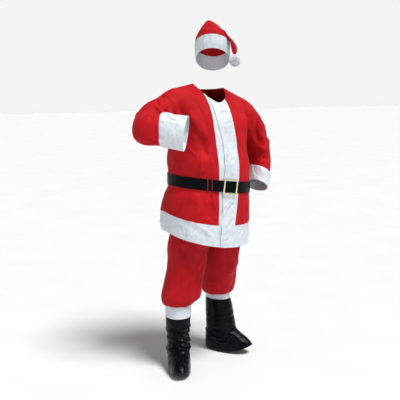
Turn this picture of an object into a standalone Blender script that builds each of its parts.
"""A worn santa suit as closed cloth walls: jacket, belt, trousers, boot covers and hat.

Metres, +Z up, the suit faces -Y and the wearer's right is -X. Tables give heights above
the floor. The origin is level with the shoulders, SHOULDER_HEIGHT above the floor.
"""
import math

import bmesh
import bpy
import numpy as np

SHOULDER_HEIGHT = 1.45
CLOTH = 0.0018
STRAP = 0.0026
HALF_GAP = 0.00017
UP = np.array([0.0, 0.0, 1.0])
DIAGONAL_WAY = np.array([1.0, 1.7, 2.3])

# Jacket

FULLNESS = 0.92
WIDEST = 0.205
# height, half_width, front_depth, back_depth, front_dip, back_dip, lift_right, lift_left, shift
JACKET_SECTIONS = (
    (0.722, 0.232, 0.203, 0.190, 0.038, 0.010, 0.034, -0.024, -0.022),
    (0.8325, 0.236, 0.207, 0.192, 0.036, 0.010, 0.024, -0.021, -0.020),
    (0.905, 0.227, 0.206, 0.184, 0.012, 0.004, 0.026, -0.026, -0.011),
    (0.960, 0.2135, 0.2035, 0.169, 0.000, 0.000, 0.026, -0.027, -0.001),
    (1.026, 0.2135, 0.2035, 0.168, 0.000, 0.000, 0.026, -0.027, 0.000),
    (1.090, 0.2185, 0.2050, 0.171, 0.000, 0.000, 0.026, -0.026, 0.000),
    (1.200, 0.206, 0.182, 0.160, 0.000, 0.000, 0.026, -0.026, 0.000),
)
# Five stations from the centre line to the armhole edge: x, depth, height
YOKE_FRONT = (
    (
        (0.0, 0.166, 1.305),
        (0.07, 0.161, 1.305),
        (0.127, 0.143, 1.305),
        (0.17, 0.108, 1.303),
        (0.191, 0.066, 1.3),
    ),
    (
        (0.0, 0.137, 1.365),
        (0.06, 0.129, 1.378),
        (0.112, 0.109, 1.39),
        (0.16, 0.083, 1.388),
        (0.195, 0.054, 1.383),
    ),
)
YOKE_BACK = (
    (
        (0.0, 0.159, 1.305),
        (0.07, 0.155, 1.305),
        (0.127, 0.141, 1.305),
        (0.17, 0.11, 1.303),
        (0.191, 0.066, 1.3),
    ),
    (
        (0.0, 0.139, 1.4),
        (0.06, 0.133, 1.4),
        (0.114, 0.113, 1.398),
        (0.162, 0.087, 1.392),
        (0.198, 0.054, 1.385),
    ),
)
NECK_FRONT = ((0.0, 0.112, 1.408), (0.062, 0.070, 1.440))
NECK_BACK = ((0.0, 0.070, 1.472), (0.055, 0.050, 1.476))
SHOULDER_SEAM = ((0.090, 0.002, 1.485), (0.150, 0.002, 1.460), (0.206, 0.002, 1.438))
# lift_right, lift_left of the three rows above the armpit
YOKE_LIFT = ((0.030, -0.022), (0.035, -0.018), (0.040, -0.012))
YOKE_HEIGHTS = (1.305, 1.385, 1.460)
STATIONS = (0.0, 0.25, 0.5, 0.75, 1.0)
DENSE = 48

HEM, BAND_TOP, BELT_MIDDLE, ARMPIT, TOP = 0.722, 0.8325, 0.993, 1.200, 1.460
HEM_ROWS = np.linspace(HEM, BAND_TOP, 4)
WAIST_ROWS = np.array([BAND_TOP, 0.875, 0.920, 0.962, BELT_MIDDLE, 1.024, 1.065, 1.110, 1.155, ARMPIT])
ARM_ROWS = np.linspace(ARMPIT, TOP, 11)
PANEL_ROWS = np.concatenate([WAIST_ROWS, ARM_ROWS[1:]])
ALL_ROWS = np.concatenate([HEM_ROWS, PANEL_ROWS[1:]])

# The front bands. height, right_seam, right_edge, left_edge, left_seam
BAND_LINES = (
    (0.7220, -0.056, 0.026, -0.043, 0.041),
    (0.8325, -0.055, 0.026, -0.041, 0.043),
    (0.9050, -0.052, 0.030, -0.033, 0.055),
    (0.9930, -0.050, 0.036, -0.028, 0.066),
    (1.0900, -0.053, 0.036, -0.019, 0.068),
    (1.2000, -0.055, 0.036, -0.018, 0.068),
    (1.3050, -0.062, 0.030, -0.038, 0.056),
    (1.4600, -0.064, 0.026, -0.046, 0.048),
)
RIGHT_SEAM, RIGHT_EDGE, LEFT_EDGE, LEFT_SEAM = 1, 2, 3, 4
UNDERLAP_DEPTH = 0.0042
UNDERLAP_RUN = 0.012
# Above this height the chest slopes back, and the underlap goes down as well as in
CHEST_SLOPES, UNDERLAP_DROP = 1.36, -0.35
# The creases fade out towards the strap and towards the shoulder seams
BELT_LIFT = (0.026, -0.027)
BELT_REACH = 0.038
BELT_HOLDS = 0.030
SHOULDER_HOLDS = 0.080

# Creases: start, end, width, depth (a trough is negative)
JACKET_CREASES = (
    ((-0.115, -0.160, 1.235), (-0.088, -0.180, 1.150), 0.022, -0.006),
    ((-0.165, -0.120, 1.345), (-0.120, -0.165, 1.250), 0.022, 0.007),
    ((-0.180, -0.080, 1.180), (-0.200, -0.070, 1.060), 0.022, -0.006),
    ((-0.130, -0.170, 1.150), (-0.135, -0.165, 1.080), 0.018, 0.006),
    ((0.140, -0.120, 1.330), (0.120, -0.165, 1.210), 0.024, 0.006),
    ((0.170, -0.100, 1.180), (0.175, -0.110, 1.050), 0.022, -0.006),
    ((-0.095, -0.190, 0.955), (-0.100, -0.195, 0.860), 0.020, -0.006),
    ((-0.160, -0.150, 0.960), (-0.185, -0.130, 0.850), 0.024, 0.007),
    ((0.120, -0.170, 0.955), (0.135, -0.175, 0.850), 0.022, 0.007),
    ((-0.080, 0.155, 1.180), (-0.100, 0.165, 1.050), 0.024, 0.006),
    ((0.100, 0.150, 1.240), (0.070, 0.165, 1.060), 0.024, -0.006),
    ((0.0, 0.175, 0.950), (0.010, 0.190, 0.840), 0.024, 0.007),
    ((-0.130, 0.140, 0.950), (-0.160, 0.150, 0.850), 0.022, -0.006),
    ((0.150, 0.120, 0.950), (0.165, 0.130, 0.850), 0.022, 0.006),
)

# Sleeves, from the armhole to the cuff: centre, half vector to the top, half vector to the front
RIGHT_SLEEVE = (
    ((-0.198, 0.000, 1.352), (-0.008, 0.000, 0.126), (0.001, -0.066, 0.000)),
    ((-0.240, 0.012, 1.345), (0.000, 0.000, 0.115), (0.006, -0.074, 0.000)),
    ((-0.281, 0.015, 1.335), (0.000, 0.000, 0.098), (0.019, -0.075, 0.004)),
    ((-0.3175, 0.009, 1.327), (0.000, 0.000, 0.089), (0.0375, -0.069, 0.008)),
    ((-0.345, -0.005, 1.306), (0.000, 0.000, 0.081), (0.056, -0.055, 0.012)),
    ((-0.358, -0.0245, 1.293), (0.000, 0.000, 0.079), (0.062, -0.0365, 0.012)),
    ((-0.370, -0.0505, 1.285), (0.000, 0.000, 0.077), (0.071, -0.0135, 0.010)),
    ((-0.3665, -0.0755, 1.281), (0.000, 0.000, 0.076), (0.0655, 0.0085, 0.008)),
    ((-0.355, -0.0925, 1.281), (0.000, 0.000, 0.076), (0.054, 0.0225, 0.005)),
    ((-0.3415, -0.1035, 1.282), (0.000, 0.000, 0.077), (0.0415, 0.0305, 0.002)),
    ((-0.3262, -0.1118, 1.282), (0.000, 0.000, 0.078), (0.0298, 0.0352, 0.000)),
)
RIGHT_CUFF = (
    RIGHT_SLEEVE[-1],
    ((-0.319, -0.118, 1.281), (0.001, 0.000, 0.083), (0.033, 0.039, 0.000)),
    ((-0.275, -0.154, 1.273), (0.004, 0.000, 0.084), (0.033, 0.040, 0.000)),
    ((-0.231, -0.190, 1.265), (0.012, -0.002, 0.085), (0.034, 0.041, 0.000)),
)
LEFT_SLEEVE = (
    ((0.203, 0.000, 1.300), (0.003, 0.000, 0.126), (-0.002, -0.066, 0.000)),
    ((0.227, -0.006, 1.289), (0.010, -0.002, 0.118), (0.000, -0.080, 0.004)),
    ((0.243, -0.009, 1.271), (0.020, -0.003, 0.103), (0.000, -0.086, 0.006)),
    ((0.261, -0.012, 1.245), (0.032, -0.004, 0.085), (0.000, -0.089, 0.006)),
    ((0.276, -0.014, 1.210), (0.041, -0.004, 0.064), (0.000, -0.089, 0.006)),
    ((0.288, -0.017, 1.171), (0.047, -0.003, 0.043), (0.000, -0.087, 0.006)),
    ((0.296, -0.022, 1.130), (0.051, -0.002, 0.024), (0.000, -0.085, 0.008)),
    ((0.299, -0.029, 1.086), (0.052, -0.004, -0.006), (0.000, -0.080, 0.010)),
    ((0.293, -0.036, 1.042), (0.046, -0.008, -0.030), (0.000, -0.075, 0.014)),
)
LEFT_CUFF = (
    LEFT_SLEEVE[-1],
    ((0.291, -0.038, 1.034), (0.049, -0.008, -0.032), (0.000, -0.080, 0.015)),
    ((0.279, -0.047, 1.000), (0.047, -0.008, -0.032), (0.000, -0.080, 0.017)),
    ((0.265, -0.057, 0.966), (0.045, -0.008, -0.032), (0.000, -0.079, 0.020)),
)
SLEEVE_RINGS = 15
CUFF_RINGS = 4
ARMHOLE_FADE = 3.2
RIGHT_SLEEVE_CREASES = (
    ((-0.290, -0.045, 1.430), (-0.272, -0.075, 1.365), 0.014, -0.008),
    ((-0.245, -0.040, 1.450), (-0.235, -0.075, 1.370), 0.016, -0.009),
    ((-0.265, -0.045, 1.435), (-0.255, -0.080, 1.370), 0.012, 0.006),
    ((-0.365, -0.120, 1.320), (-0.372, -0.115, 1.260), 0.018, -0.008),
    ((-0.420, -0.060, 1.330), (-0.350, -0.110, 1.345), 0.016, 0.006),
    ((-0.400, -0.100, 1.240), (-0.345, -0.140, 1.225), 0.016, 0.006),
    ((-0.330, 0.085, 1.360), (-0.260, 0.090, 1.300), 0.024, 0.007),
    ((-0.400, 0.060, 1.290), (-0.330, 0.085, 1.270), 0.022, -0.007),
)
LEFT_SLEEVE_CREASES = (
    ((0.235, -0.070, 1.330), (0.240, -0.090, 1.220), 0.018, -0.008),
    ((0.275, -0.080, 1.260), (0.255, -0.105, 1.190), 0.016, -0.008),
    ((0.330, -0.060, 1.200), (0.270, -0.110, 1.150), 0.018, 0.008),
    ((0.345, -0.050, 1.110), (0.280, -0.115, 1.110), 0.016, -0.007),
    ((0.270, 0.070, 1.280), (0.330, 0.040, 1.180), 0.022, 0.007),
    ((0.280, 0.070, 1.130), (0.340, 0.040, 1.090), 0.020, -0.007),
)

# Belt

STRAP_HEIGHT = 0.058
STRAP_CLEAR = 0.0011
STRAP_OUTER_LAYER = 0.0045
STRAP_COLUMNS = 62
STRAP_START = -0.054
STRAP_END = 0.044
STRAP_RAMP = (-0.086, -0.062)
BUCKLE_X = 0.008
BUCKLE_WIDTH, BUCKLE_HEIGHT, BUCKLE_BAR, BUCKLE_THICK = 0.080, 0.078, 0.008, 0.0035
BUCKLE_CORNER, BUCKLE_INNER_CORNER, BUCKLE_POINTS = 0.006, 0.001, 24
BUCKLE_CLEAR = 0.0012
# How far the front face's edges are drawn in at the outer and inner outlines
BUCKLE_BEVELS = (0.97, 1.02)
LOOP_X = (-0.1065, -0.0870)
LOOP_WIDTH, LOOP_THICK = 0.005, 0.0013
# height from the strap's middle, and 1 where the loop lies on the strap, 0 where it lies on the jacket
LOOP_PATH = (
    (-0.0400, 0),
    (-0.0335, 0),
    (-0.0305, 1),
    (-0.0100, 1),
    (0.0100, 1),
    (0.0305, 1),
    (0.0335, 0),
    (0.0400, 0),
)
LOOP_CLEAR = 0.0010
# Half the width over which the jacket's direction is read below a loop
LOOP_LEVEL = 0.002

# Trousers: height, centre_x, centre_y, half_width, half_depth
RIGHT_LEG = (
    (0.352, -0.165, 0.032, 0.0735, 0.0735),
    (0.366, -0.163, 0.032, 0.0870, 0.0870),
    (0.394, -0.153, 0.029, 0.1010, 0.0980),
    (0.425, -0.147, 0.025, 0.1045, 0.1010),
    (0.480, -0.136, 0.022, 0.1020, 0.1020),
    (0.560, -0.119, 0.019, 0.1010, 0.1060),
    (0.645, -0.112, 0.018, 0.1040, 0.1220),
)
LEFT_LEG = (
    (0.338, 0.160, 0.168, 0.0735, 0.0735),
    (0.352, 0.158, 0.164, 0.0870, 0.0870),
    (0.380, 0.153, 0.152, 0.0940, 0.0940),
    (0.415, 0.148, 0.136, 0.0950, 0.0970),
    (0.475, 0.137, 0.108, 0.0930, 0.0990),
    (0.560, 0.120, 0.068, 0.0940, 0.1050),
    (0.645, 0.104, 0.036, 0.0960, 0.1200),
)
# height of the side, half_width, front_depth, back_depth, height of the centre seam
SEAT = (
    (0.735, 0.205, 0.146, 0.168, 0.790),
    (0.800, 0.203, 0.158, 0.170, 0.838),
    (0.865, 0.195, 0.158, 0.160, 0.885),
    (0.930, 0.184, 0.156, 0.146, 0.936),
    (0.988, 0.176, 0.152, 0.138, 0.988),
)
FORK_HEIGHT, FORK_GAP = 0.722, 0.0004
OUTER_POINTS, INNER_POINTS = 16, 9
CROTCH_ANGLE = math.radians(50)
LEG_ROWS_BELOW, SEAT_ROWS_ABOVE = 12, 6
GATHERS, GATHER_TURN = 7, 0.6
GATHER_DEPTH = 0.0030
# The share of the gathers' depth lost at each row up the leg
GATHER_FADE = 0.55
RIGHT_LEG_CREASES = (
    ((-0.205, -0.060, 0.640), (-0.190, -0.080, 0.480), 0.024, 0.006),
    ((-0.100, -0.100, 0.660), (-0.120, -0.090, 0.500), 0.024, -0.006),
    ((-0.150, -0.080, 0.470), (-0.170, -0.075, 0.395), 0.018, -0.006),
    ((-0.215, -0.020, 0.470), (-0.235, -0.010, 0.395), 0.018, 0.006),
    ((-0.090, -0.060, 0.480), (-0.085, -0.040, 0.400), 0.018, 0.006),
    ((-0.120, 0.130, 0.620), (-0.150, 0.125, 0.460), 0.024, 0.007),
)
LEFT_LEG_CREASES = (
    ((0.130, -0.070, 0.640), (0.150, 0.000, 0.500), 0.024, 0.006),
    ((0.170, 0.030, 0.500), (0.190, 0.070, 0.410), 0.020, -0.006),
    ((0.190, 0.060, 0.620), (0.215, 0.130, 0.470), 0.022, 0.006),
    ((0.100, 0.150, 0.600), (0.120, 0.220, 0.440), 0.024, 0.007),
)

# Boot covers, in each foot's own directions: back, back_height, front, front_height, half_width, toe_rise
RIGHT_COVER_SECTIONS = (
    (-0.068, 0.300, 0.068, 0.293, 0.0665, 1.0),
    (-0.069, 0.258, 0.068, 0.252, 0.0650, 1.0),
    (-0.068, 0.214, 0.067, 0.212, 0.0620, 1.0),
    (-0.066, 0.168, 0.064, 0.176, 0.0590, 1.0),
    (-0.067, 0.128, 0.069, 0.146, 0.0590, 1.0),
    (-0.070, 0.094, 0.092, 0.122, 0.0590, 1.0),
    (-0.073, 0.066, 0.126, 0.104, 0.0590, 1.2),
    (-0.074, 0.042, 0.162, 0.088, 0.0590, 1.6),
    (-0.074, 0.024, 0.192, 0.070, 0.0590, 2.2),
    (-0.074, 0.010, 0.212, 0.048, 0.0580, 3.0),
)
LEFT_COVER_SECTIONS = (
    (-0.068, 0.300, 0.071, 0.293, 0.0665, 1.0),
    (-0.069, 0.258, 0.084, 0.252, 0.0660, 1.0),
    (-0.069, 0.214, 0.094, 0.212, 0.0650, 1.0),
    (-0.068, 0.168, 0.102, 0.176, 0.0630, 1.0),
    (-0.068, 0.128, 0.108, 0.146, 0.0610, 1.0),
    (-0.070, 0.094, 0.121, 0.124, 0.0600, 1.0),
    (-0.073, 0.066, 0.147, 0.108, 0.0595, 1.2),
    (-0.074, 0.042, 0.175, 0.093, 0.0590, 1.6),
    (-0.074, 0.024, 0.199, 0.076, 0.0590, 2.2),
    (-0.074, 0.010, 0.216, 0.056, 0.0580, 3.0),
)
COVER_RINGS, COVER_POINTS = 15, 20
# height, height_spread, how far out: the slouch round the ankle, which the left shaft hardly has
SLOUCH = (
    (0.222, 0.010, 0.0045),
    (0.192, 0.008, -0.0040),
    (0.165, 0.009, 0.0055),
    (0.138, 0.008, -0.0040),
    (0.112, 0.009, 0.0040),
)
SLOUCH_WANDER = 0.010
COVER_TOP = 0.297
COVER_SQUARENESS = 0.95
# The foot's shift and the lifting of its bottom edge start and end at these heights
SHIFT_FROM, SHIFT_RUN = 0.10, 0.15
EDGE_FROM, EDGE_RUN, EDGE_LIFT = 0.06, 0.05, 0.006
# share of the way up the white top band, radius
TOP_BAND = ((0.5, 0.0685), (1.0, 0.0690))
# ankle_x, ankle_y, forward_x, forward_y, pulled up by, top of the white band, share of the slouch
RIGHT_FOOT = (-0.165, 0.032, -0.39, -0.92, -0.008, 0.377, 1.0)
LEFT_FOOT = (0.160, 0.168, 0.545, -0.839, 0.014, 0.362, 0.3)

# Hat, on a head turned to the wearer's right. Its outer and inner edges: across, toward, height.
# Then the half depth and the rise of each ring's front
HEAD_TURN = math.radians(-30)
HAT_CONE = (
    ((-0.0685, 0.000, 1.695), (0.1145, 0.000, 1.690), (0.098, 0.052)),
    ((-0.0620, 0.000, 1.722), (0.1115, 0.003, 1.709), (0.090, 0.050)),
    ((-0.0450, 0.000, 1.756), (0.1095, 0.008, 1.7145), (0.076, 0.040)),
    ((-0.0240, 0.000, 1.789), (0.1085, 0.014, 1.716), (0.062, 0.030)),
    ((-0.0020, 0.002, 1.810), (0.1080, 0.020, 1.717), (0.052, 0.020)),
    ((0.0300, 0.010, 1.797), (0.1078, 0.026, 1.7165), (0.044, 0.012)),
    ((0.0570, 0.020, 1.778), (0.1080, 0.032, 1.7155), (0.039, 0.006)),
    ((0.0820, 0.031, 1.757), (0.1090, 0.038, 1.714), (0.034, 0.002)),
    ((0.1060, 0.042, 1.733), (0.1110, 0.044, 1.709), (0.028, 0.000)),
    ((0.1280, 0.051, 1.709), (0.1130, 0.051, 1.699), (0.023, 0.000)),
    ((0.1420, 0.058, 1.686), (0.1150, 0.058, 1.682), (0.018, 0.000)),
    ((0.1460, 0.062, 1.664), (0.1190, 0.062, 1.662), (0.014, 0.000)),
    ((0.1400, 0.063, 1.646), (0.1270, 0.063, 1.645), (0.006, 0.000)),
)
HAT_BAND = (
    ((-0.0625, 0.000, 1.623), (0.1085, 0.000, 1.620), (0.099, 0.054)),
    ((-0.0680, 0.000, 1.658), (0.1140, 0.000, 1.655), (0.101, 0.053)),
    HAT_CONE[0],
)
HAT_RINGS, HAT_POINTS = 15, 18
POMPOM_CENTRE = (0.1345, 0.063, 1.6131)
POMPOM_CORE, POMPOM_REACH, POMPOM_POINTS = 0.0215, 0.0325, 108
POMPOM_UNEVEN, POMPOM_STEP = 0.07, 2.4


# Shared shapes


def slopes_of(values, knots):
    """A slope at each row of a table that never carries the curve past its neighbours."""
    gaps = np.diff(knots).reshape((-1,) + (1,) * (values.ndim - 1))
    steps = np.diff(values, axis=0) / gaps
    before, after = steps[:-1], steps[1:]
    heavy, light = 2 * gaps[1:] + gaps[:-1], gaps[1:] + 2 * gaps[:-1]
    same_way = before * after > 0
    safe_before, safe_after = np.where(same_way, before, 1.0), np.where(same_way, after, 1.0)
    middle = np.where(same_way, (heavy + light) / (heavy / safe_before + light / safe_after), 0.0)
    return np.concatenate([steps[:1], middle, steps[-1:]])


def spline(values, knots, at):
    """Smooth values through a table's rows."""
    values = np.asarray(values, float)
    knots = np.asarray(knots, float)
    at = np.asarray(at, float)
    slopes = slopes_of(values, knots)
    cell = np.clip(np.searchsorted(knots, at, side="right") - 1, 0, len(knots) - 2)
    shape = (-1,) + (1,) * (values.ndim - 1)
    width = (knots[cell + 1] - knots[cell]).reshape(shape)
    t = (at - knots[cell]).reshape(shape) / width
    ends = (2 * t**3 - 3 * t**2 + 1) * values[cell] + (3 * t**2 - 2 * t**3) * values[cell + 1]
    bends = (t**3 - 2 * t**2 + t) * slopes[cell] + (t**3 - t**2) * slopes[cell + 1]
    return ends + width * bends


def grid_faces(rows, columns, closed=False, flip=False):
    """Four-sided faces of a grid. Across each row times up the rows points outwards."""
    across = columns if closed else columns - 1
    row, column = np.meshgrid(np.arange(rows - 1), np.arange(across), indexing="ij")
    after = (column + 1) % columns
    low, high = row * columns, (row + 1) * columns
    corners = [low + column, low + after, high + after, high + column]
    faces = np.stack(corners, axis=-1).reshape(-1, 4)
    return faces[:, ::-1] if flip else faces


def vertex_normals(points, faces):
    """Each vertex's normal: the sum of the areas of the faces round it."""
    one_way = points[faces[:, 2]] - points[faces[:, 0]]
    diagonals = np.cross(one_way, points[faces[:, 3]] - points[faces[:, 1]])
    normals = np.zeros_like(points)
    for corner in range(4):
        np.add.at(normals, faces[:, corner], diagonals)
    return normals


def crease_moves(points, normals, creases):
    """How far each point moves out along ridges and in along troughs, which fade away from their lines."""
    normals = normals / np.linalg.norm(normals, axis=1, keepdims=True)
    moves = np.zeros_like(points)
    for start, end, width, depth in creases:
        start = np.array(start)
        along = np.array(end) - start
        share = np.clip((points - start) @ along / (along @ along), 0, 1)
        away = np.linalg.norm(points - start - share[:, None] * along, axis=1)
        moves += normals * (depth * np.exp(-((away / width) ** 2)))[:, None]
    return moves


class Piece:
    """One cut piece: its outer surface, wall thickness and material."""

    def __init__(self, name, points, faces, material, wall=CLOTH):
        self.name = name
        self.points = np.asarray(points, float).reshape(-1, 3)
        self.faces = faces
        self.material = material
        self.wall = wall
        self.normals = vertex_normals(self.points, faces)


def seam_edges(piece):
    """The directed edges that have a face on one side only."""
    ends = np.concatenate([piece.faces[:, [i, (i + 1) % 4]] for i in range(4)])
    owner = np.tile(np.arange(len(piece.faces)), 4)
    known = set(map(tuple, ends.tolist()))
    keep = [k for k, (a, b) in enumerate(ends.tolist()) if (b, a) not in known]
    return ends[keep], owner[keep]


def shared_places(pieces):
    """For every point of every piece, the number of its place, and whether another piece shares it."""
    stacked = np.concatenate([piece.points for piece in pieces])
    _, place = np.unique(np.round(stacked, 6) + 0.0, axis=0, return_inverse=True)
    place = place.reshape(-1)
    owner = np.repeat(np.arange(len(pieces)), [len(piece.points) for piece in pieces])
    users = np.unique(np.stack([place, owner], axis=1), axis=0)
    joined = (np.bincount(users[:, 0], minlength=place.max() + 1) > 1)[place]
    stops = np.cumsum([len(piece.points) for piece in pieces])[:-1]
    return np.split(place, stops), np.split(joined, stops)


def share_normals(pieces, places):
    """Gives points at one place one normal, so that walls meet along their seams."""
    total = np.zeros((max(place.max() for place in places) + 1, 3))
    for piece, place in zip(pieces, places):
        normals = vertex_normals(piece.points, piece.faces)
        np.add.at(total, place, normals / np.linalg.norm(normals, axis=1, keepdims=True))
    for piece, place in zip(pieces, places):
        piece.normals = total[place]


def sew(pieces, creases=(), hold=None):
    """Creases the pieces of one garment together, then opens each seam between them by the gap."""
    places, joined = shared_places(pieces)
    share_normals(pieces, places)
    for piece in pieces:
        moves = crease_moves(piece.points, piece.normals, creases)
        piece.points = piece.points + (moves if hold is None else moves * hold(piece.points))
    share_normals(pieces, places)
    for piece, joins in zip(pieces, joined):
        open_seams(piece, joins)


def open_seams(piece, joined):
    """Moves the edge along each seam back into the piece by half the gap."""
    edges, owner = seam_edges(piece)
    centres = piece.points[piece.faces].mean(axis=1)
    inward = {}
    for (a, b), face in zip(edges.tolist(), owner.tolist()):
        if not (joined[a] and joined[b]):
            continue
        line = piece.points[b] - piece.points[a]
        way = centres[face] - piece.points[a]
        way = way - line * (way @ line) / (line @ line)
        way /= np.linalg.norm(way)
        inward.setdefault(a, []).append(way)
        inward.setdefault(b, []).append(way)
    for vertex, ways in inward.items():
        spread = 1 + ways[0] @ ways[-1] if len(ways) > 1 else 1
        total = ways[0] + ways[-1] if len(ways) > 1 else ways[0]
        piece.points[vertex] += HALF_GAP * total / max(spread, 0.6)


def edge_strip(points, edges, count):
    """Two triangles across the wall at each open edge, cut the same way on both sides of a seam."""
    rank = points @ DIAGONAL_WAY
    swap = rank[edges[:, 0]] > rank[edges[:, 1]]
    a, b = edges[:, 0], edges[:, 1]
    first = np.stack([b, a, np.where(swap, b, a) + count], axis=1)
    second = np.stack([np.where(swap, a, b), a + count, b + count], axis=1)
    return first.tolist() + second.tolist()


def wall_mesh(piece):
    """The closed wall: the outer surface, the same surface moved in, and a strip round each open edge."""
    normals = piece.normals / np.linalg.norm(piece.normals, axis=1, keepdims=True)
    count = len(piece.points)
    points = np.concatenate([piece.points, piece.points - normals * piece.wall])
    edges, _ = seam_edges(piece)
    faces = piece.faces.tolist() + (piece.faces[:, ::-1] + count).tolist()
    return points, faces + edge_strip(points, edges, count)


def add_object(name, points, faces, material):
    """One node, with its points moved from heights above the floor to the shared frame."""
    mesh = bpy.data.meshes.new(name)
    placed = np.asarray(points, float) - UP * SHOULDER_HEIGHT
    mesh.from_pydata(placed.tolist(), [], [list(face) for face in faces])
    mesh.update()
    mesh.materials.append(material)
    made = bpy.data.objects.new(name, mesh)
    bpy.context.scene.collection.objects.link(made)
    return made


def add_pieces(pieces):
    for piece in pieces:
        points, faces = wall_mesh(piece)
        add_object(piece.name, points, faces, piece.material)


def add_material(name, colour, roughness, metallic=0.0):
    material = bpy.data.materials.new(name)
    material.use_nodes = True
    shader = material.node_tree.nodes["Principled BSDF"]
    shader.inputs["Base Color"].default_value = (*colour, 1.0)
    shader.inputs["Roughness"].default_value = roughness
    shader.inputs["Metallic"].default_value = metallic
    return material


# The jacket's surface


def yoke_row(stations, facing, lifts):
    """One row above the armpit, from the right armhole edge to the left one."""
    half = np.array(stations)
    row = np.concatenate([half[::-1][:-1] * (-1, 1, 1), half])
    row[:, 1] *= facing
    row[:, 2] += lift_of(row[:, 0], *lifts)
    return row


def lift_of(x, right, left):
    return np.where(x < 0, right, left) * np.abs(x) / WIDEST


def jacket_rows(facing):
    """The front (-1) or back (1) as rows of points, from the right side to the left side."""
    across = np.linspace(-1, 1, 2 * DENSE + 1)
    angle = across * math.pi / 2
    rows = []
    for height, width, front, back, front_dip, back_dip, right, left, shift in JACKET_SECTIONS:
        depth, dip = (front, front_dip) if facing < 0 else (back, back_dip)
        middle = np.maximum(np.cos(angle), 0)
        x = width * np.sign(across) * np.abs(np.sin(angle)) ** FULLNESS
        z = height - dip * middle + lift_of(x, right, left)
        x = x + shift
        rows.append(np.stack([x, facing * depth * middle**FULLNESS, z], axis=1))
    knots = np.concatenate([-np.array(STATIONS)[::-1][:-1], STATIONS])
    for stations, lifts in zip(YOKE_FRONT if facing < 0 else YOKE_BACK, YOKE_LIFT):
        rows.append(spline(yoke_row(stations, facing, lifts), knots, across))
    neck = NECK_FRONT if facing < 0 else NECK_BACK
    top = yoke_row(neck + SHOULDER_SEAM, facing, YOKE_LIFT[-1])
    top[:3, 1] = top[-3:, 1] = -SHOULDER_SEAM[0][1]
    edge = DENSE // 2
    parts = [spline(top[:3], knots[:3], across[:edge])]
    parts.append(spline(top[2:7], knots[2:7], across[edge:-edge]))
    parts.append(spline(top[6:], knots[6:], across[-edge:]))
    rows.append(np.concatenate(parts))
    return np.array(rows)


def jacket_surface(facing, heights):
    """The front or back at the named heights, from the right side to the left side."""
    knots = np.concatenate([[row[0] for row in JACKET_SECTIONS], YOKE_HEIGHTS])
    return spline(jacket_rows(facing), knots, heights)


def places_of(rows, line):
    """Where a line of x values, or a fixed column of the surface, crosses each row."""
    if np.ndim(line) == 0:
        return np.full(len(rows), float(line))
    return np.array([np.interp(x, row[:, 0], np.arange(len(row))) for row, x in zip(rows, line)])


def between(rows, *runs):
    """A strip of the surface: each run is a line to start from, a line to end at and a number of cells."""
    places = []
    for start, end, cells in runs:
        start, end = places_of(rows, start), places_of(rows, end)
        share = np.linspace(0, 1, cells + 1)
        run = start[:, None] + (end - start)[:, None] * share
        places.append(run if not places else run[:, 1:])
    places = np.concatenate(places, axis=1)
    index = np.arange(rows.shape[1])
    strip = []
    for row, at in zip(rows, places):
        strip.append(np.stack([np.interp(at, index, row[:, k]) for k in range(3)], axis=1))
    return np.array(strip)


def seam_line(column, heights):
    """The x of a seam of the front bands at each height."""
    table = np.array(BAND_LINES)
    return spline(table[:, column], table[:, 0], heights)


def under(strip):
    """The right front band tucked below the left one."""
    moved = strip.copy()
    for row, edge in zip(moved, seam_line(LEFT_EDGE, ALL_ROWS)):
        share = np.clip((row[:, 0] - edge + UNDERLAP_RUN) / UNDERLAP_RUN, 0, 1)
        away = np.array([0.0, 1.0, UNDERLAP_DROP if row[0, 2] > CHEST_SLOPES else 0.0])
        row += (share * UNDERLAP_DEPTH)[:, None] * away
    return moved


def jacket_panel(name, strip, material):
    return Piece(name, strip, grid_faces(strip.shape[0], strip.shape[1]), material)


def jacket_hold(points):
    """How freely the jacket creases: not at all under the strap or along the shoulder seams."""
    belt = BELT_MIDDLE + lift_of(points[:, 0], *BELT_LIFT)
    free = np.clip((np.abs(points[:, 2] - belt) - BELT_REACH) / BELT_HOLDS, 0, 1)
    free = np.where(np.abs(points[:, 0]) > WIDEST + BELT_HOLDS, 1.0, free)
    yoke = np.clip((TOP - points[:, 2]) / SHOULDER_HOLDS, 0, 1)
    return (free * np.where(np.abs(points[:, 0]) > WIDEST, 1.0, yoke))[:, None]


def jacket_pieces(red, white):
    front = jacket_surface(-1, ALL_ROWS)
    back = jacket_surface(1, ALL_ROWS)
    first = len(HEM_ROWS) - 1
    right_seam, right_edge, left_edge, left_seam = (
        seam_line(line, ALL_ROWS) for line in (RIGHT_SEAM, RIGHT_EDGE, LEFT_EDGE, LEFT_SEAM)
    )
    half, last = DENSE // 2, 2 * DENSE
    right = between(front, (0, half, 5), (half, right_seam, 5))
    right_band = under(between(front, (right_seam, right_edge, 5)))
    left_band = between(front, (left_edge, left_seam, 5))
    left = between(front, (left_seam, last - half, 4), (last - half, last, 5))
    behind = between(back, (last, last - half, 5), (last - half, half, 9), (half, 0, 5))
    hem = np.concatenate([left[: first + 1], behind[: first + 1, 1:], right[: first + 1, 1:]], axis=1)
    return [
        jacket_panel("jacket_front_right", right[first:], red),
        jacket_panel("jacket_front_left", left[first:], red),
        jacket_panel("jacket_back", behind[first:], red),
        jacket_panel("front_band_right", right_band, white),
        jacket_panel("front_band_left", left_band, white),
        jacket_panel("hem_band", hem, white),
    ]


# Sleeves and cuffs


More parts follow.
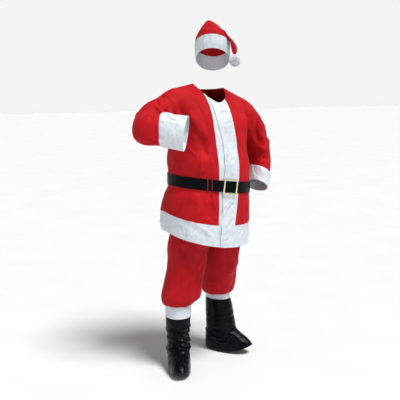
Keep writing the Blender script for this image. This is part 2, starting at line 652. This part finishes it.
def armhole_ring(side, pieces):
    """The armhole edge, from the armpit up the front, over the shoulder and down the back."""
    by_name = {piece.name: piece for piece in pieces}
    front = by_name["jacket_front_right" if side < 0 else "jacket_front_left"].points
    back = by_name["jacket_back"].points
    rows = len(PANEL_ROWS)
    front = front.reshape(rows, -1, 3)[-len(ARM_ROWS) :, 0 if side < 0 else -1]
    back = back.reshape(rows, -1, 3)[-len(ARM_ROWS) :, -1 if side < 0 else 0]
    return np.concatenate([front, back[-2:0:-1]])


def ring_points(row, angles):
    """A ring round a centre, from its bottom by way of its front to its top and back."""
    centre, top, front = (np.array(v) for v in row)
    return centre - np.cos(angles)[:, None] * top + np.sin(angles)[:, None] * front


def table_rings(table, count, angles):
    """Rings spaced evenly through a table of centre, top and front vectors."""
    at = np.linspace(0, len(table) - 1, count)
    rows = spline(np.array(table), np.arange(len(table)), at)
    return np.array([ring_points(row, angles) for row in rows]), at


def sleeve_pieces(side, jacket, red, white):
    table, cuff_table, name = LEFT_SLEEVE, LEFT_CUFF, "left"
    if side < 0:
        table, cuff_table, name = RIGHT_SLEEVE, RIGHT_CUFF, "right"
    armhole = armhole_ring(side, jacket)
    even = np.linspace(0, 2 * math.pi, len(armhole), endpoint=False)
    rings, at = table_rings(table, SLEEVE_RINGS, even)
    shift = armhole - rings[0]
    fade = np.clip(1 - at / ARMHOLE_FADE, 0, 1) ** 2
    rings = rings + fade[:, None, None] * shift
    faces = grid_faces(*rings.shape[:2], closed=True, flip=side > 0)
    cuff, _ = table_rings(cuff_table, CUFF_RINGS, even)
    cuff_faces = grid_faces(*cuff.shape[:2], closed=True, flip=side > 0)
    return [
        Piece("sleeve_" + name, rings, faces, red),
        Piece("cuff_" + name, cuff, cuff_faces, white),
    ]


# Belt


def waist_loop(height):
    """The jacket's outline at a height, from its right side round the front, and its outward ways."""
    front = jacket_surface(-1, [height])[0]
    back = jacket_surface(1, [height])[0][::-1]
    loop = np.concatenate([front, back[1:-1]])
    ahead = np.roll(loop, -1, axis=0) - np.roll(loop, 1, axis=0)
    normals = np.cross(ahead, UP)
    normals /= np.linalg.norm(normals, axis=1, keepdims=True)
    return loop, normals


def strap_path():
    """Places along the waist loop, from the hidden inner end once round and over it to the outer end."""
    loop, _ = waist_loop(BELT_MIDDLE)
    front = 2 * DENSE + 1
    index = np.arange(front)
    start = np.interp(STRAP_START, loop[:front, 0], index)
    end = np.interp(STRAP_END, loop[:front, 0], index) + len(loop)
    ramp = [np.interp(x, loop[:front, 0], index) + len(loop) for x in STRAP_RAMP]
    places = np.linspace(start, end, STRAP_COLUMNS)
    rise = np.clip((places - ramp[0]) / (ramp[1] - ramp[0]), 0, 1)
    rise = rise * rise * (3 - 2 * rise)
    return places, STRAP_CLEAR + STRAP + rise * (STRAP_OUTER_LAYER - STRAP_CLEAR)


def belt_strap(black):
    places, out = strap_path()
    rows = []
    loop, normals = waist_loop(BELT_MIDDLE)
    for height in (-STRAP_HEIGHT / 2, 0.0, STRAP_HEIGHT / 2):
        index = np.arange(len(loop) + 1)
        wrapped = np.concatenate([loop, loop[:1]])
        outward = np.concatenate([normals, normals[:1]])
        base = np.stack([np.interp(places % len(loop), index, wrapped[:, k]) for k in range(3)], axis=1)
        away = np.stack([np.interp(places % len(loop), index, outward[:, k]) for k in range(3)], axis=1)
        rows.append(base + away * (out + widest_in_strap())[:, None] + UP * height)
    grid = np.array(rows)
    return Piece("belt_strap", grid, grid_faces(*grid.shape[:2]), black, STRAP)


def widest_in_strap():
    """How much further out the jacket reaches within the strap's height than at its middle."""
    reach = [0.0]
    for height in np.linspace(BELT_MIDDLE - STRAP_HEIGHT / 2, BELT_MIDDLE + STRAP_HEIGHT / 2, 7):
        for facing in (-1, 1):
            row = jacket_surface(facing, [height])[0]
            middle = jacket_surface(facing, [BELT_MIDDLE])[0]
            reach.append(np.max(np.linalg.norm(row[:, :2], axis=1) - np.linalg.norm(middle[:, :2], axis=1)))
    return max(reach)


def front_point(x, height):
    row = jacket_surface(-1, [height])[0]
    return np.array([np.interp(x, row[:, 0], row[:, k]) for k in range(3)])


def buckle_mesh(gold):
    """A square frame with rounded corners, flat, lying on the strap's outer layer."""
    half = np.array([BUCKLE_WIDTH, BUCKLE_HEIGHT]) / 2
    turn = (np.arange(BUCKLE_POINTS) + 0.5) * 2 * math.pi / BUCKLE_POINTS
    quarter = np.floor(turn / (math.pi / 2))
    across = np.where((quarter == 0) | (quarter == 3), 1, -1)
    corner = np.stack([across, np.where(quarter < 2, 1, -1)], axis=1)
    arc = np.stack([np.cos(turn), np.sin(turn)], axis=1)
    outline = corner * (half - BUCKLE_CORNER) + arc * BUCKLE_CORNER
    inside = corner * (half - BUCKLE_BAR - BUCKLE_INNER_CORNER) + arc * BUCKLE_INNER_CORNER
    bar = half[0] - BUCKLE_BAR / 2
    sides = [front_point(BUCKLE_X + s * bar, BELT_MIDDLE)[1] for s in (-1, 1)]
    back = min(sides) - STRAP_OUTER_LAYER - STRAP - widest_in_strap() - BUCKLE_CLEAR
    face = back - BUCKLE_THICK
    middle = front_point(BUCKLE_X, BELT_MIDDLE)
    rise = front_point(BUCKLE_X + bar, BELT_MIDDLE) - front_point(BUCKLE_X - bar, BELT_MIDDLE)
    slope = rise[2] / (2 * bar)
    rings = []
    outer_bevel, inner_bevel = BUCKLE_BEVELS
    shapes = (outline, outline * outer_bevel, inside * inner_bevel, inside)
    for shape, y in zip(shapes, (back, face, face, back)):
        x = BUCKLE_X + shape[:, 0] - slope * shape[:, 1]
        z = middle[2] + shape[:, 1] + slope * shape[:, 0]
        rings.append(np.stack([x, np.full(len(x), y), z], axis=1))
    grid = np.array(rings + rings[:1])
    count = grid.shape[1]
    faces = grid_faces(5, count, closed=True) % (4 * count)
    add_object("buckle", grid[:4].reshape(-1, 3), faces.tolist(), gold)


def belt_loop(name, x, red):
    """A narrow strip that stands on the jacket above and below the strap and passes over it."""
    rows = []
    over = STRAP_CLEAR + STRAP + widest_in_strap()
    for up, lies_over in LOOP_PATH:
        edges = []
        out = LOOP_CLEAR + lies_over * over
        for side in (-1, 1):
            at = x + side * LOOP_WIDTH / 2
            base = front_point(at, BELT_MIDDLE + up)
            after = front_point(at + LOOP_LEVEL, BELT_MIDDLE + up)
            normal = np.cross(after - front_point(at - LOOP_LEVEL, BELT_MIDDLE + up), UP)
            edges.append(base + normal / np.linalg.norm(normal) * (out + LOOP_THICK))
        rows.append(edges)
    grid = np.array(rows)
    return Piece(name, grid, grid_faces(*grid.shape[:2]), red, LOOP_THICK)


# Trousers


def leg_ring(row, side, gather):
    """A ring round the leg, from the front inner corner by way of the outer side."""
    height, x, y, width, depth = row
    outer = np.linspace(-CROTCH_ANGLE, math.pi + CROTCH_ANGLE, OUTER_POINTS)
    inner = np.linspace(math.pi + CROTCH_ANGLE, 2 * math.pi - CROTCH_ANGLE, INNER_POINTS + 2)[1:-1]
    angle = np.concatenate([outer, inner])
    reach = 1 + gather * np.cos(GATHERS * angle + GATHER_TURN) / width
    return np.stack(
        [
            x + side * width * reach * np.sin(angle),
            y - depth * reach * np.cos(angle),
            np.full(len(angle), height),
        ],
        axis=1,
    )


def seat_row(row, side):
    """The outer half of a ring above the fork, from the front centre seam to the back one."""
    height, width, front, back, centre = row
    angle = np.linspace(0, math.pi, OUTER_POINTS)
    depth = np.where(angle < math.pi / 2, front, back)
    middle = np.abs(np.cos(angle))
    z = height + (centre - height) * middle**2
    return np.stack([side * width * np.sin(angle) ** FULLNESS, -depth * np.cos(angle), z], axis=1)


def fork_curve(side):
    """The top of the inner leg, from the back centre down under the body to the front centre."""
    _, _, front, back, centre = SEAT[0]
    share = np.linspace(0, 1, INNER_POINTS + 2)[1:-1]
    y = back + (-front - back) * share
    dip = np.sin(math.pi * share) ** 0.8
    x = np.full(len(y), side * FORK_GAP)
    return np.stack([x, y, centre - (centre - FORK_HEIGHT) * dip], axis=1)


def leg_piece(name, table, side, red):
    depths = [GATHER_DEPTH * max(0.0, 1 - GATHER_FADE * k) for k in range(len(table))]
    below = [leg_ring(row, side, depth) for row, depth in zip(table, depths)]
    below.append(np.concatenate([seat_row(SEAT[0], side), fork_curve(side)]))
    knots = np.array([row[0] for row in table] + [SEAT[0][0]])
    at = np.concatenate([knots[:3], np.linspace(knots[2], knots[-1], LEG_ROWS_BELOW - 2)[1:]])
    tube = spline(np.array(below), knots, at)
    above = spline(
        np.array([seat_row(row, side) for row in SEAT]),
        [row[0] for row in SEAT],
        np.linspace(SEAT[0][0], SEAT[-1][0], SEAT_ROWS_ABOVE),
    )[1:]
    around = OUTER_POINTS + INNER_POINTS
    tube_faces = grid_faces(len(tube), around, closed=True)
    start = len(tube) * around
    upper = np.arange(start, start + above.shape[0] * OUTER_POINTS).reshape(above.shape[:2])
    rim = np.arange(OUTER_POINTS) + start - around
    levels = np.concatenate([rim[None], upper])
    corners = [levels[:-1, :-1], levels[:-1, 1:], levels[1:, 1:], levels[1:, :-1]]
    faces = np.concatenate([tube_faces, np.stack(corners, axis=-1).reshape(-1, 4)])
    faces = faces[:, ::-1] if side < 0 else faces
    points = np.concatenate([tube.reshape(-1, 3), above.reshape(-1, 3)])
    return Piece(name, points, faces, red)


# Boot covers


def foot_frame(foot):
    x, y, fx, fy, raised = foot[:5]
    forward = np.array([fx, fy, 0.0]) / math.hypot(fx, fy)
    return np.array([x, y, 0.0]), forward, np.cross(UP, forward), raised


def squared(wave):
    """A sine or cosine with slightly fuller corners."""
    return np.sign(wave) * np.abs(wave) ** COVER_SQUARENESS


def cover_ring(section, foot, turn):
    """A ring round the boot cover, from the toe side by way of the left side to the heel."""
    back, back_height, front, front_height, width, rise = section
    origin, forward, left, raised = foot_frame(foot)
    toe = (1 + np.cos(turn)) / 2
    along = (back + front) / 2 + (front - back) / 2 * squared(np.cos(turn))
    height = back_height + (front_height - back_height) * toe**rise
    height = height + raised * np.clip((height - SHIFT_FROM) / SHIFT_RUN, 0, 1)
    low = np.clip((EDGE_FROM - back_height) / EDGE_RUN, 0, 1) * np.sin(turn) ** 2 * EDGE_LIFT
    side = width * squared(np.sin(turn))
    ring = origin + along[:, None] * forward + side[:, None] * left
    return ring + UP * (height - low)[:, None]


def slouched(rings, foot):
    """Soft rolls round the ankle, uneven from side to side."""
    origin, forward, left, raised = foot_frame(foot)
    off = rings - origin
    height = off[..., 2]
    off = off * (1, 1, 0)
    way = off / np.linalg.norm(off, axis=-1, keepdims=True)
    turn = np.arctan2(off @ left, off @ forward)
    push = np.zeros(height.shape)
    for k, (level, spread, out) in enumerate(SLOUCH):
        wander = SLOUCH_WANDER * (np.sin(turn + 1.7 * k) + np.sin(2 * turn + k) / 2)
        uneven = 0.75 + 0.25 * np.cos(turn - 1.1 * k)
        push += out * uneven * np.exp(-(((height - level - wander) / spread) ** 2))
    return rings + way * (foot[-1] * push)[..., None]


def cover_pieces(name, table, foot, black, white):
    turn = np.linspace(0, 2 * math.pi, COVER_POINTS, endpoint=False)
    at = np.linspace(0, len(table) - 1, COVER_RINGS)
    sections = spline(np.array(table), np.arange(len(table)), at)
    rings = slouched(np.array([cover_ring(s, foot, turn) for s in sections]), foot)
    origin, forward, left, raised = foot_frame(foot)
    top = rings[0]
    band = [top]
    bottom = COVER_TOP + raised
    for share, radius in TOP_BAND:
        ring = origin + radius * (np.cos(turn)[:, None] * forward + np.sin(turn)[:, None] * left)
        band.append(ring + UP * (bottom + share * (foot[-2] - bottom)))
    band = np.array(band)
    return [
        Piece("boot_cover_" + name, rings, grid_faces(*rings.shape[:2], closed=True, flip=True), black),
        Piece("boot_band_" + name, band, grid_faces(*band.shape[:2], closed=True), white),
    ]


# Hat


def head_point(across, toward, height):
    right = np.array([math.cos(HEAD_TURN), math.sin(HEAD_TURN), 0.0])
    facing = np.array([math.sin(HEAD_TURN), -math.cos(HEAD_TURN), 0.0])
    return across * right + toward * facing + height * UP


def hat_table(table):
    """Centre, half vector to the outer side and half vector to the front of each ring."""
    rows = []
    for outer, inner, (depth, rise) in table:
        outer, inner = head_point(*outer), head_point(*inner)
        rows.append(((outer + inner) / 2, (outer - inner) / 2, head_point(0.0, depth, rise)))
    return rows


def hat_pieces(red, white):
    turn = np.linspace(0, 2 * math.pi, HAT_POINTS, endpoint=False)
    cone, _ = table_rings(hat_table(HAT_CONE), HAT_RINGS, turn)
    band, _ = table_rings(hat_table(HAT_BAND), 3, turn)
    faces = grid_faces(*cone.shape[:2], closed=True, flip=True)
    last = (len(cone) - 1) * HAT_POINTS
    half = HAT_POINTS // 2
    tip = []
    for k in range(half - 1):
        across = HAT_POINTS - 1 - k
        tip.append([last + (k + 1) % HAT_POINTS, last + k, last + across, last + across - 1])
    return [
        Piece("hat_cone", cone, np.concatenate([faces, np.array(tip)]), red),
        Piece("hat_band", band, grid_faces(*band.shape[:2], closed=True, flip=True), white),
    ]


def pompom(white):
    """A ball with one three-sided lock standing on each face."""
    index = np.arange(POMPOM_POINTS) + 0.5
    tilt = np.arccos(1 - 2 * index / POMPOM_POINTS)
    turn = math.pi * (1 + 5**0.5) * index
    unit = np.stack([np.cos(turn) * np.sin(tilt), np.sin(turn) * np.sin(tilt), np.cos(tilt)], axis=1)
    hull = bmesh.new()
    for point in unit:
        hull.verts.new(point)
    bmesh.ops.convex_hull(hull, input=hull.verts)
    bmesh.ops.triangulate(hull, faces=hull.faces)
    bmesh.ops.recalc_face_normals(hull, faces=hull.faces)
    hull.verts.index_update()
    points = [np.array(v.co) * POMPOM_CORE for v in hull.verts]
    faces = []
    for k, face in enumerate(hull.faces):
        a, b, c = (v.index for v in face.verts)
        middle = np.array(face.calc_center_median())
        reach = POMPOM_REACH * (1 - POMPOM_UNEVEN * (1 - math.sin(POMPOM_STEP * k)))
        points.append(middle / np.linalg.norm(middle) * reach)
        tip = len(points) - 1
        faces += [(a, b, tip), (b, c, tip), (c, a, tip)]
    hull.free()
    centre = head_point(*POMPOM_CENTRE)
    add_object("hat_pompom", np.array(points) + centre, faces, white)


# Build


def build():
    for old in list(bpy.data.objects):
        bpy.data.objects.remove(old, do_unlink=True)
    red = add_material("red_cloth", (0.52, 0.008, 0.018), 0.55)
    white = add_material("white_satin", (0.83, 0.86, 0.92), 0.32)
    black = add_material("black_strap", (0.006, 0.007, 0.010), 0.22)
    vinyl = add_material("black_vinyl", (0.005, 0.006, 0.010), 0.18)
    gold = add_material("pale_gold", (0.72, 0.62, 0.30), 0.30, 1.0)
    fur = add_material("white_fur", (0.86, 0.87, 0.88), 0.85)
    jacket = jacket_pieces(red, white)
    arms = sleeve_pieces(-1, jacket, red, white) + sleeve_pieces(1, jacket, red, white)
    legs = [
        leg_piece("trousers_right", RIGHT_LEG, -1, red),
        leg_piece("trousers_left", LEFT_LEG, 1, red),
    ]
    hat = hat_pieces(red, white)
    right_boot = cover_pieces("right", RIGHT_COVER_SECTIONS, RIGHT_FOOT, vinyl, white)
    left_boot = cover_pieces("left", LEFT_COVER_SECTIONS, LEFT_FOOT, vinyl, white)
    sew(jacket + arms, JACKET_CREASES + RIGHT_SLEEVE_CREASES + LEFT_SLEEVE_CREASES, jacket_hold)
    sew(legs, RIGHT_LEG_CREASES + LEFT_LEG_CREASES)
    sew(hat)
    sew(right_boot)
    sew(left_boot)
    for garment in (jacket, arms, legs, hat, right_boot, left_boot):
        add_pieces(garment)
    add_pieces([belt_strap(black)])
    add_pieces([belt_loop("belt_loop_outer", LOOP_X[0], red), belt_loop("belt_loop_inner", LOOP_X[1], red)])
    buckle_mesh(gold)
    pompom(fur)


build()
